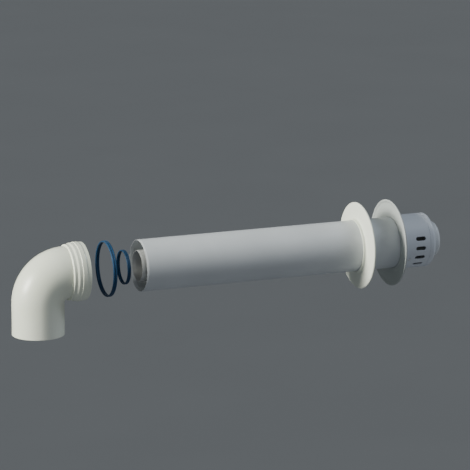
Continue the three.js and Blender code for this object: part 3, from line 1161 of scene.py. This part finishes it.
@dataclass(frozen=True)
class Pipe(Ring):
    """Pipe with leads on the end that is pushed in, and sawn ends painted with the dark edge tone as
    painted shade.
    """

    wall: float = 2 * MM
    chamfer: float = 4 * MM              # length of the lead on the outside
    chamfer_rise: float = 0.7 * MM
    lead: float = 7 * MM                 # length of the bore's own lead
    lead_rise: float = 0.9 * MM
    cut: float = 0.6 * MM                # stretch at the pushed end that is painted with the dark edge tone: painted shade on the sawn cut
    row: float = 30 * MM

    def outline(self) -> list[Mark]:
        """Section of the wall.

        Returns:
            Closed outline, with full wear on the sawn ends, where the dark edge tone paints shade.
        """
        start, end, radius = self.place.low.x, self.place.high.x, self.place.radius
        bore, crisp = radius - self.wall, 0.3 * MM
        marks = rounded([
            (start + self.lead, bore, self.lead),
            (start, bore + self.lead_rise, 0.1 * MM),
            (start, radius - self.chamfer_rise, 0.2 * MM),
            (start + self.chamfer, radius, self.chamfer),
            (end, radius, crisp), (end, bore, crisp),
        ], self.row)
        # Full wear on the sawn ends paints them with the dark edge tone: painted shade.
        return [m if start + self.cut < m.along < end - crisp else m._replace(wear=1.0)
                for m in marks]


@dataclass(frozen=True)
class Rosette(Ring):
    """Dished wall plate with a collar that grips the pipe."""

    facing: Facing
    wall: float = 2 * MM
    bore: float = 50.4 * MM
    dish: float = 6 * MM                 # wall plane to the face round the collar
    land: float = 3 * MM                 # flat of the rim that lies on the wall
    rim_depth: float = 3.2 * MM
    shoulder: float = 8 * MM             # flat part of the face round the collar
    sweep: float = 12 * MM               # rounding between that flat and the dish
    row: float = 3 * MM

    def outline(self) -> list[Mark]:
        """Section of the plate, from the wall plane to the end of its collar.

        Returns:
            Closed outline.
        """
        rim, end, collar = self.place.radius, self.place.length, self.bore + self.wall
        edge, inside, flat = rim - self.land, self.dish - self.wall, collar + self.shoulder
        marks = rounded([
            (0, edge, 0.5 * MM), (0, rim, 0.8 * MM), (self.rim_depth, rim, 2.2 * MM),
            (inside, edge - 1 * MM, 4 * MM), (self.dish, flat, self.sweep),
            (self.dish, collar, 3 * MM), (end, collar, 0.9 * MM),
            (end, self.bore, 0.6 * MM), (inside, self.bore, 0.8 * MM),
            (inside, flat, self.sweep), (inside - self.wall, edge - self.land, 1.6 * MM),
        ], self.row)
        wall_x = self.place.high.x if self.facing is Facing.ROOM else self.place.low.x
        return [m._replace(along=wall_x - self.facing.value * m.along) for m in marks]


class WallPoint(NamedTuple):
    """Point of a tube's wall: place along it, way round it from straight down, radius, wear."""

    along: float
    round: float
    radius: float
    wear: float = 0.0


def shares(count: int) -> list[float]:
    """Even steps from 0 to just short of 1."""
    return [i / count for i in range(count)]


@dataclass(frozen=True)
class SlottedWall:
    """Tube wall with round-ended slots at equal steps round its lower part."""

    start: float
    end: float
    radius: float
    wall: float
    slot_start: float
    slot_length: float
    slot_width: float
    pitch: float                         # angle between slots
    count: int
    slot_edge: float = 0.5 * MM          # rounding of a slot's edges
    edge_steps: int = 5                  # rows across that rounding
    edge_flat: float = 0.5 * MM          # skin kept flat beside it
    border: float = 3 * MM               # wall kept round a slot in its panel
    across: int = 12                     # faces across a panel, and round a slot's end
    straight: int = 8                    # faces along a slot's side

    @property
    def block(self) -> tuple[float, float]:
        """Where the stretch with the slots starts and ends."""
        return self.slot_start - self.border, self.slot_start + self.slot_length + self.border

    def ends(self) -> tuple[list[Mark], list[Mark]]:
        """Wall on either side of the stretch with the slots.

        Returns:
            Outline of the left end, from the bore out, and of the right end, back to the bore.
        """
        bore, (low, high) = self.radius - self.wall, self.block
        soft, crisp = 0.7 * MM, 0.3 * MM
        marks = rounded([
            (self.end, bore, crisp), (self.start, bore, crisp),
            (self.start, self.radius, soft), (self.end, self.radius, crisp)], self.border)
        first = next(i for i, mark in enumerate(marks) if mark.along < low)
        left = [m for m in marks if m.along < low]
        right = [m for m in [*marks[first:], *marks[:first]] if m.along > high]
        return ([Mark(low, bore, 0.0), *left, Mark(low, self.radius, 0.0)],
                [Mark(high, self.radius, 0.0), *right, Mark(high, bore, 0.0)])

    def panel_border(self, radius: float) -> list[WallPoint]:
        """Edge of a panel's stretch with its slot.

        Args:
            radius: skin of the wall that it lies on.

        Returns:
            Closed ring of points.
        """
        low, high = self.block
        half = self.radius * self.pitch / 2
        along = [low + (high - low) * share for share in shares(self.straight)]
        across = [half - 2 * half * share for share in shares(self.across)]
        ring = [(x, half) for x in along] + [(high, y) for y in across]
        ring += [(high + low - x, -half) for x in along] + [(low, -y) for y in across]
        return [WallPoint(x, y, radius) for x, y in ring]

    def slot_ring(self, offset: float, radius: float, wear: float = 0.0) -> list[WallPoint]:
        """Slot's outline moved out, as a ring that matches the panel's border.

        Args:
            offset: how far it is moved out.
            radius: distance from the tube's axis.
            wear: wear of its points.

        Returns:
            Closed ring of points.
        """
        half, end = self.slot_width / 2 + offset, self.slot_width / 2
        first, last = self.slot_start + end, self.slot_start + self.slot_length - end
        along = [first + (last - first) * share for share in shares(self.straight)]
        turns = [QUARTER_TURN - HALF_TURN * share for share in shares(self.across)]
        ring = [(x, half) for x in along]
        ring += [(last + half * math.cos(t), half * math.sin(t)) for t in turns]
        ring += [(last + first - x, -half) for x in along]
        ring += [(first - half * math.cos(t), -half * math.sin(t)) for t in turns]
        return [WallPoint(x, y, radius, wear) for x, y in ring]

    def slot_rings(self, level: float, side: int) -> list[list[WallPoint]]:
        """Rings from the border of a panel to its slot, and round the slot's edge.

        Args:
            level: radius of the skin.
            side: 1 on the outside of the wall, -1 on the inside.

        Returns:
            Rings with the same number of points.
        """
        border = self.panel_border(level)
        near = self.slot_ring(self.slot_edge + self.edge_flat, level)
        between = [WallPoint((a.along + b.along) / 2, (a.round + b.round) / 2, level)
                   for a, b in zip(border, near)]
        rings = [border, between, near]
        for k in range(self.edge_steps + 1):
            turn = QUARTER_TURN * k / self.edge_steps
            out = self.slot_edge * (1 - math.sin(turn))
            depth = self.slot_edge * (1 - math.cos(turn))
            rings.append(self.slot_ring(out, level - side * depth, math.sin(2 * turn)))
        return rings

    def spot(self, along: float, angle: float, radius: float) -> Triple:
        """Place of a wall point, with the tube's axis as the X axis."""
        return along, radius * math.sin(angle), -radius * math.cos(angle)

    def swept(self, name: str, strips: list[list[Mark]], angles: list[float],
              closed: bool) -> bpy.types.Mesh:
        """Outlines swept through some angles.

        Args:
            name: name of the mesh.
            strips: outlines.
            angles: where the sections stand.
            closed: whether each outline closes on itself.

        Returns:
            The mesh.
        """
        points, faces = [], []
        for strip in strips:
            faces += grid_faces(len(strip), len(angles), closed, around=False, base=len(points))
            points += [self.spot(mark.along, a, mark.radius) for mark in strip for a in angles]
        wear = [mark.wear for strip in strips for mark in strip for _ in angles]
        return named_mesh(name, points, faces, wear)

    def panel(self, name: str) -> bpy.types.Mesh:
        """One panel of the wall with its slot, straight down from the axis.

        Args:
            name: name of the mesh.

        Returns:
            The panel.
        """
        bore = self.radius - self.wall
        rings = [*self.slot_rings(self.radius, 1), *self.slot_rings(bore, -1)[::-1]]
        points = [self.spot(p.along, p.round / self.radius, p.radius) for r in rings for p in r]
        hole = named_mesh(f"{name}_hole", points, grid_faces(len(rings), len(rings[0])),
                          [p.wear for r in rings for p in r])
        angles = [self.pitch * (0.5 - share) for share in [*shares(self.across), 1.0]]
        edges = self.swept(f"{name}_edges", list(self.ends()), angles, closed=False)
        return joined(name, [hole, edges], WELD)

    def plain(self, name: str) -> bpy.types.Mesh:
        """The stretch of wall without slots.

        Args:
            name: name of the mesh.

        Returns:
            The stretch.
        """
        (left, right), (low, high) = self.ends(), self.block
        steps = [low + (high - low) * share for share in shares(self.straight)[1:]]
        outer = [Mark(x, self.radius, 0.0) for x in steps]
        inner = [Mark(x, self.radius - self.wall, 0.0) for x in steps[::-1]]
        taken = self.count * self.pitch / 2
        free = FULL_TURN - 2 * taken
        columns = round(free / (self.pitch / self.across))
        angles = [taken + free * share for share in [*shares(columns), 1.0]]
        return self.swept(name, [[*left, *outer, *right, *inner]], angles, closed=True)

    def mesh(self, name: str, finish: Finish) -> bpy.types.Mesh:
        """The whole wall about the pipe's axis.

        Args:
            name: name of the mesh.
            finish: its finish.

        Returns:
            The wall.
        """
        sizes = {"Count": self.count, "First Angle": -self.pitch * (self.count - 1) / 2,
                 "Pitch": self.pitch, "Axis Height": AXIS_Z}
        panel = self.panel(f"{name}_panel")
        row = round_the_pipe().run(f"{name}_row", panel, finish.material(), sizes)
        plain = self.plain(f"{name}_plain")
        plain.transform(Matrix.Translation((0.0, 0.0, AXIS_Z)))
        return joined(name, [row, plain], WELD)


@dataclass(frozen=True)
class Terminal(SubAssembly):
    """Outer end of the flue: slotted sleeve, round-shouldered cap, nozzle, grille and rivets."""

    sleeve: Extent
    cap: Extent
    nozzle: Extent
    grille: Extent
    rivet: Extent
    sleeve_wall: float = 2.6 * MM
    slot_setback: float = 20 * MM        # sleeve's edge to the slots
    slot_length: float = 21 * MM
    slot_width: float = 8 * MM
    slot_pitch: float = math.radians(21.2)
    slot_count: int = 11
    spigot: float = 6 * MM
    spigot_gap: float = 0.3 * MM
    cap_wall: float = 2.5 * MM
    cap_fillet: float = 10 * MM
    gap: float = 0.4 * MM
    nozzle_wall: float = 2 * MM
    nozzle_flange: float = 3.5 * MM
    flange_wall: float = 1.8 * MM
    nozzle_edge: float = 5 * MM
    nozzle_stop: float = 14 * MM         # front edge to the stop for the flue pipe
    nozzle_lip: float = 2 * MM
    nozzle_front: float = 3.5 * MM       # wall of the nozzle round the grille
    grille_rim: float = 3.5 * MM
    bar_width: float = 2 * MM
    bar_count: int = 3
    rivet_count: int = 3
    rivet_shank: float = 1.6 * MM
    rivet_bulge: float = 2.3 * MM
    rivet_sides: int = 40
    sides: int = 160
    row: float = 3 * MM

    @classmethod
    def from_frame(cls) -> "Terminal":
        """The terminal where the frame has it."""
        return cls(*(Extent.of(f"terminal_{n}") for n in (
            "sleeve", "end_cap", "nozzle", "grille", "rivet_1")))

    def round_piece(self, name: str, corners: list[Corner]) -> bpy.types.Mesh:
        """Ring about the pipe's axis."""
        return turned(name, rounded(corners, self.row), even_angles(self.sides))

    def sleeve_mesh(self) -> bpy.types.Mesh:
        """Sleeve on the pipe's end, with the air slots round its lower part.

        Returns:
            The sleeve.
        """
        place = self.sleeve
        return SlottedWall(
            place.low.x, place.high.x, place.radius, self.sleeve_wall,
            place.low.x + self.slot_setback, self.slot_length, self.slot_width,
            self.slot_pitch, self.slot_count).mesh("sleeve", TERMINAL_WHITE)

    def cap_mesh(self) -> bpy.types.Mesh:
        """Cap with a wide round shoulder, pushed into the sleeve.

        Returns:
            The cap.
        """
        back, front, radius = self.cap.low.x, self.cap.high.x, self.cap.radius
        seat, inside = back + self.spigot, front - self.cap_wall
        spigot = radius - self.sleeve_wall - self.spigot_gap
        hollow, hole = spigot - self.cap_wall, self.nozzle.radius - self.nozzle_flange + self.gap
        crisp = 0.3 * MM
        return self.round_piece("end_cap", [
            (back, hollow, crisp), (back, spigot, 0.6 * MM), (seat, spigot, crisp),
            (seat, radius, 0.5 * MM), (front, radius, self.cap_fillet), (front, hole, 0.6 * MM),
            (inside, hole, crisp), (inside, hollow, self.cap_fillet - self.cap_wall)])

    def nozzle_mesh(self) -> bpy.types.Mesh:
        """Nozzle that takes the flue pipe's end, with a round front edge.

        Returns:
            The nozzle.
        """
        back, front, widest = self.nozzle.low.x, self.nozzle.high.x, self.nozzle.radius
        outside = widest - self.nozzle_flange
        seat = outside - self.nozzle_front
        bore = seat - self.nozzle_front + self.bar_width + self.gap
        skin, lip = bore + self.nozzle_wall, bore - self.nozzle_wall - self.gap
        flange = self.cap.high.x - self.cap_wall - self.spigot_gap
        rear, stop = flange - self.flange_wall, front - self.nozzle_stop
        lip_x, edge, soft, crisp = stop + self.nozzle_lip, self.nozzle_edge, 0.4 * MM, 0.3 * MM
        return self.round_piece("nozzle", [
            (back, bore, crisp), (back, skin, 0.6 * MM), (rear, skin, crisp),
            (rear, widest, soft), (flange, widest, soft), (flange, outside, crisp),
            (front - edge * 0.8, outside, edge),
            (front - edge * 0.12, outside - edge * 0.45, edge * 0.3),
            (front, seat, 0.35 * MM), (lip_x, seat, crisp), (lip_x, lip, crisp),
            (stop, lip, crisp), (stop, bore, crisp)])

    def grille_mesh(self) -> bpy.types.Mesh:
        """Guard across the outlet: a rim and upright bars.

        Returns:
            The grille.
        """
        back, front, radius = self.grille.low.x, self.grille.high.x, self.grille.radius
        clear, soft = radius - self.grille_rim, 0.5 * MM
        rim = turned("grille_rim", rounded([
            (back, clear, soft), (back, radius, soft), (front, radius, soft),
            (front, clear, soft)]), even_angles(self.sides))
        depth, half = (front - back) / 2, self.bar_width / 2
        opening = clear + self.grille_rim / 2
        section = rounded([(-depth, -half, soft), (depth, -half, soft), (depth, half, soft),
                           (-depth, half, soft)])
        count = len(section)
        points = [(m.along, m.radius, z) for z in (-opening, opening) for m in section]
        ends = [tuple(range(count))[::-1], tuple(range(count, 2 * count))]
        bar = named_mesh("grille_bar", points, grid_faces(2, count) + ends,
                         [m.wear for m in section] * 2)
        sizes = {"Count": self.bar_count, "Pitch": clear / 2, "Opening": opening,
                 "Middle": (self.grille.middle.x, 0.0, AXIS_Z)}
        bars = bars_across().run("grille_bars", bar, NOZZLE_WHITE.material(), sizes)
        return joined("grille", [rim, bars])

    def rivet_mesh(self) -> bpy.types.Mesh:
        """Blind rivets that hold the sleeve on the pipe.

        Returns:
            All of them, as one mesh.
        """
        tail, top = self.rivet.low.z - AXIS_Z, self.rivet.high.z - AXIS_Z
        head, shank, bulge = self.rivet.length / 2, self.rivet_shank, self.rivet_bulge
        under = self.sleeve.radius + self.spigot_gap
        inside = self.sleeve.radius - self.sleeve_wall - self.gap - self.nozzle_wall
        crisp = 0.12 * MM
        dimple = top - 4 * crisp
        marks = rounded([
            (tail, 0.0, 0.0), (tail, 0.6 * bulge, crisp),
            ((tail + inside) / 2, bulge, 2 * crisp), (inside - crisp, shank, crisp),
            (under, shank, crisp), (under, head, crisp), (under + 3 * crisp, head, 2 * crisp),
            (top, 0.5 * head, 4 * crisp), (top, 0.3 * head, crisp),
            (dimple, 0.28 * head, crisp), (dimple, 0.0, 0.0)])
        rivet = turned("rivet", marks, even_angles(self.rivet_sides), Lie.UP)
        rivet.transform(Matrix.Translation((self.rivet.middle.x, 0.0, 0.0)))
        sizes = {"Count": self.rivet_count, "First Angle": 0.0,
                 "Pitch": FULL_TURN / self.rivet_count, "Axis Height": AXIS_Z}
        return round_the_pipe().run("rivets", rivet, RIVET_METAL.material(), sizes)

    def pieces(self) -> list[Piece]:
        """All pieces of the terminal.

        Returns:
            The pieces, from the sleeve to the rivets.
        """
        rivets = tuple(f"terminal_rivet_{i + 1}" for i in range(self.rivet_count))
        return [
            Piece(self.sleeve_mesh(), Body.PIPE, TERMINAL_WHITE, ("terminal_sleeve",)),
            Piece(self.cap_mesh(), Body.PIPE, TERMINAL_WHITE, ("terminal_end_cap",)),
            Piece(self.nozzle_mesh(), Body.PIPE, NOZZLE_WHITE, ("terminal_nozzle",)),
            Piece(self.grille_mesh(), Body.PIPE, NOZZLE_WHITE, ("terminal_grille",)),
            Piece(self.rivet_mesh(), Body.PIPE, RIVET_METAL, rivets),
        ]


# ---------------------------------------------------------------- studio


@dataclass(frozen=True)
class Softbox:
    name: str
    way: Triple
    size: float
    power: float
    colour: Colour
    distance: float = 4.0
    spread: float = math.radians(32)     # grid in front of the lamp

    def hang(self, aim: Vector) -> None:
        """Hangs the lamp and turns it to the aim.

        Args:
            aim: point that it shines at.
        """
        lamp = bpy.data.lights.new(self.name, "AREA")
        lamp.shape, lamp.size, lamp.spread = "DISK", self.size, self.spread
        lamp.energy, lamp.color = self.power, self.colour
        shown = linked(self.name, lamp)
        way = Vector(self.way).normalized()
        shown.location = aim + way * self.distance
        shown.rotation_euler = way.to_track_quat("Z", "Y").to_euler()
        shown.visible_camera = False


@dataclass(frozen=True)
class Studio:
    """Pale floor below the floating kit, soft lamps, even surroundings and the camera."""

    azimuth: float = -21.7
    elevation: float = 13.1
    distance: float = 5.909
    lens: float = 235.0
    aim_forward: float = 14 * MM
    aim_up: float = 58 * MM
    floor_drop: float = 2.2              # floor below the elbow's rim
    floor_size: float = 60.0
    floor_tone: Colour = (0.62, 0.65, 0.67)
    floor_shift: float = 1.02            # how much paler its second tone is
    floor_drift: float = 1.5             # tone patches per metre
    sky: Colour = (0.80, 0.83, 0.86)
    sky_strength: float = 0.235
    lamps: tuple[Softbox, ...] = (
        Softbox("key", (-0.90, -0.02, 0.38), 1.7, 18.5, (1.0, 0.995, 0.92)),
        Softbox("fill", (0.72, -0.15, 0.68), 1.5, 2.5, (0.76, 0.87, 1.0)),
        Softbox("front", (-0.2, -1.0, -0.2), 2.0, 0.75, (0.84, 0.88, 1.0)),
    )

    @property
    def middle(self) -> Vector:
        return (cad_box[0] + cad_box[1]) / 2

    def camera(self) -> None:
        lens = bpy.data.cameras.new("camera")
        lens.lens, lens.clip_end = self.lens, self.floor_size * 2
        turn, rise = math.radians(self.azimuth), math.radians(self.elevation)
        back = Vector((
            math.sin(turn) * math.cos(rise), -math.cos(turn) * math.cos(rise), math.sin(rise)))
        aim = self.middle + Vector((self.aim_forward, 0.0, self.aim_up))
        camera = linked("camera", lens)
        camera.location = aim + back * self.distance
        camera.rotation_euler = back.to_track_quat("Z", "Y").to_euler()
        bpy.context.scene.camera = camera

    def floor(self) -> None:
        half, level = self.floor_size / 2, cad_box[0].z - self.floor_drop
        corners = [(x * half, y * half, level) for x, y in ((-1, -1), (1, -1), (1, 1), (-1, 1))]
        sheet = bpy.data.meshes.new("floor")
        sheet.from_pydata(corners, [], [(0, 1, 2, 3)])
        material, bench, shader = new_material("floor_matt")
        paler = tuple(part * self.floor_shift for part in self.floor_tone)
        tone = bench.made("ShaderNodeGroup", {
            "Vector": bench.add("ShaderNodeTexCoord").outputs["Object"],
            "Main": opaque(self.floor_tone), "Second": opaque(paler),
            "Scale": self.floor_drift, "Speckle": 0.1}, node_tree=tone_drift())
        bench.wire(shader, {"Base Color": tone, "Roughness": 0.9, "Specular IOR Level": 0.1})
        sheet.materials.append(material)
        linked("floor", sheet)

    def surroundings(self) -> None:
        """Even light from all round."""
        world = bpy.data.worlds.new("studio")
        world.use_nodes = True
        light = next(n for n in world.node_tree.nodes if n.type == "BACKGROUND")
        Bench(world.node_tree).wire(
            light, {"Color": opaque(self.sky), "Strength": self.sky_strength})
        bpy.context.scene.world = world

    def build(self) -> None:
        self.surroundings()
        self.floor()
        for lamp in self.lamps:
            lamp.hang(self.middle)
        self.camera()


# ---------------------------------------------------------------- assembly


def kit() -> list[SubAssembly]:
    """Returns:
        The parts in order, from the elbow to the terminal.
    """
    return [
        ElbowBend.from_frame(),
        CentringSpring("elbow_leg_spring", "elbow_leg_spacer", Body.ELBOW, Lie.UP),
        CentringSpring("elbow_mouth_spring", "elbow_mouth_spacer", Body.ELBOW),
        LipSeal("large_seal", "outer_seal", Body.LARGE_SEAL, SEAL_BLUE, rise=3.6 * MM),
        LipSeal("small_seal", "inner_seal", Body.SMALL_SEAL, SEAL_BLUE, rise=3.0 * MM),
        Pipe("air_pipe", "outer_pipe", Body.PIPE, PIPE_WHITE),
        Pipe("flue_pipe", "inner_pipe", Body.PIPE, LINER_GREY),
        CentringSpring("front_spring", "pipe_front_spacer", Body.FRONT_CENTRING),
        CentringSpring("middle_spring", "pipe_middle_spacer", Body.PIPE),
        CentringSpring("rear_spring", "pipe_rear_spacer", Body.PIPE),
        Rosette("room_rosette", "inner_wall_rosette", Body.ROOM_ROSETTE, ROOM_ROSETTE_WHITE,
                Facing.ROOM),
        Rosette("outside_rosette", "outer_wall_rosette", Body.OUTSIDE_ROSETTE,
                OUTSIDE_ROSETTE_SHADED_WHITE, Facing.OUTSIDE),
        Terminal.from_frame(),
    ]


def main() -> None:
    logging.basicConfig(level=logging.INFO, format="%(name)s: %(message)s")
    Studio().build()
    for part in kit():
        for piece in part.pieces():
            piece.fit()
            mesh = piece.mesh
            mesh.calc_loop_triangles()
            log.info("%s on %s: %d triangles", mesh.name, piece.body.value,
                     len(mesh.loop_triangles))


if __name__ == "__main__":
    main()
